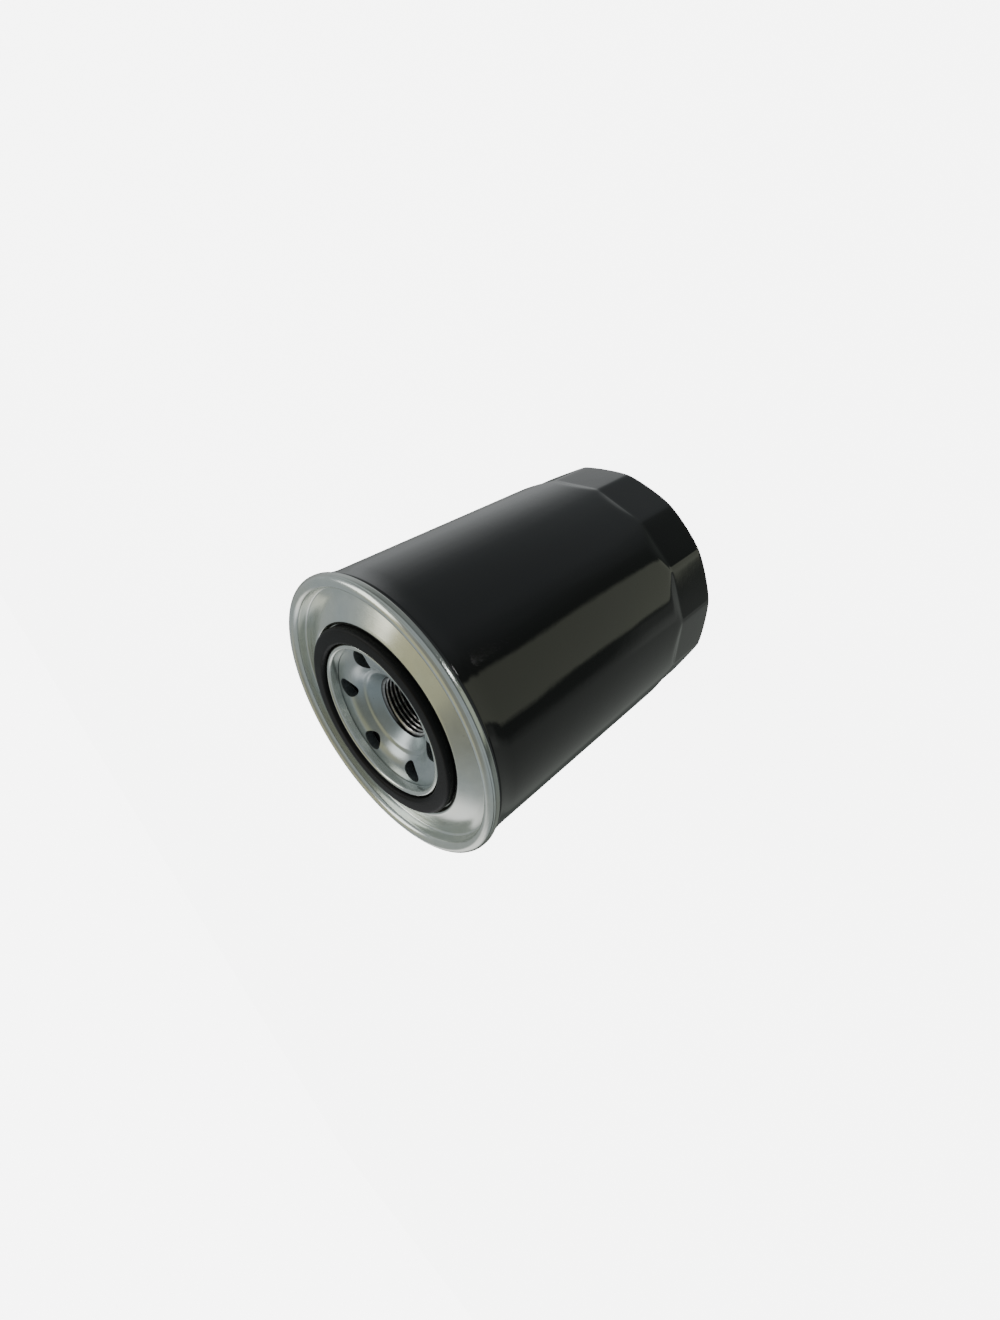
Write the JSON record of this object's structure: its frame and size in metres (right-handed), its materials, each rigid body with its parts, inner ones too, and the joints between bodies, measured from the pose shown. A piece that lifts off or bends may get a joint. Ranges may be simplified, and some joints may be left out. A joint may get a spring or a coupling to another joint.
{
  "type": "oil filter",
  "caption": "Spin-on engine oil filter: black enamelled steel can with wrench flats, zinc-plated seaming lid, rubber gasket and threaded base plate with oil inlets round it.",
  "frame": {"origin": "middle of the rest plane of the closed end, on the thread's axis", "axes": "+Z along the axis, out of the threaded end; X and Y across it, with an oil inlet on +Y"},
  "size_m": [0.096, 0.096, 0.1201],
  "materials": {
    "enamel": "gloss",
    "zinc": "satin",
    "plate_zinc": "satin",
    "gasket_rubber": "satin",
    "valve_rubber": "matte",
    "sealant": "matte",
    "bare_steel": "satin",
    "tin_steel": "satin",
    "spring_steel": "satin",
    "filter_paper": "matte",
    "adhesive": "matte"
  },
  "bodies": {
    "canister": {"can": "enamel", "seaming_lid": "zinc", "base_plate": "plate_zinc", "gasket": "gasket_rubber", "seam_sealant": "sealant", "spot_welds": "bare_steel", "drain_valve_sleeve": "valve_rubber", "drain_valve_flap": "valve_rubber", "support_spring": "spring_steel"},
    "drain_lip": {"drain_valve_lip": "valve_rubber"},
    "element": {"upper_end_cap": "tin_steel", "lower_end_cap": "tin_steel", "centre_tube": "tin_steel", "pleated_paper": "filter_paper", "paper_seam_clip": "tin_steel", "upper_adhesive": "adhesive", "lower_adhesive": "adhesive", "bypass_housing": "tin_steel", "bypass_seat_gasket": "valve_rubber", "bypass_retainer": "tin_steel", "spring_seat": "tin_steel", "bypass_spring": "spring_steel"},
    "bypass": {"bypass_disc": "tin_steel"}
  },
  "joints": [
    {"name": "drain_valve_lift", "type": "slide", "parent": "canister", "child": "drain_lip", "axis": [0, 0, -1], "range_m": [0, 0.0012], "stiffness_N_per_m": 400, "springref_m": -0.0004, "deforming": ["drain_valve_flap"]},
    {"name": "element_float", "type": "slide", "parent": "canister", "child": "element", "axis": [0, 0, -1], "range_m": [0, 0.0015], "stiffness_N_per_m": 6000, "springref_m": -0.002, "deforming": ["support_spring"]},
    {"name": "bypass_lift", "type": "slide", "parent": "element", "child": "bypass", "axis": [0, 0, 1], "range_m": [0, 0.003], "stiffness_N_per_m": 1500, "springref_m": -0.003, "deforming": ["bypass_spring"]}
  ]
}
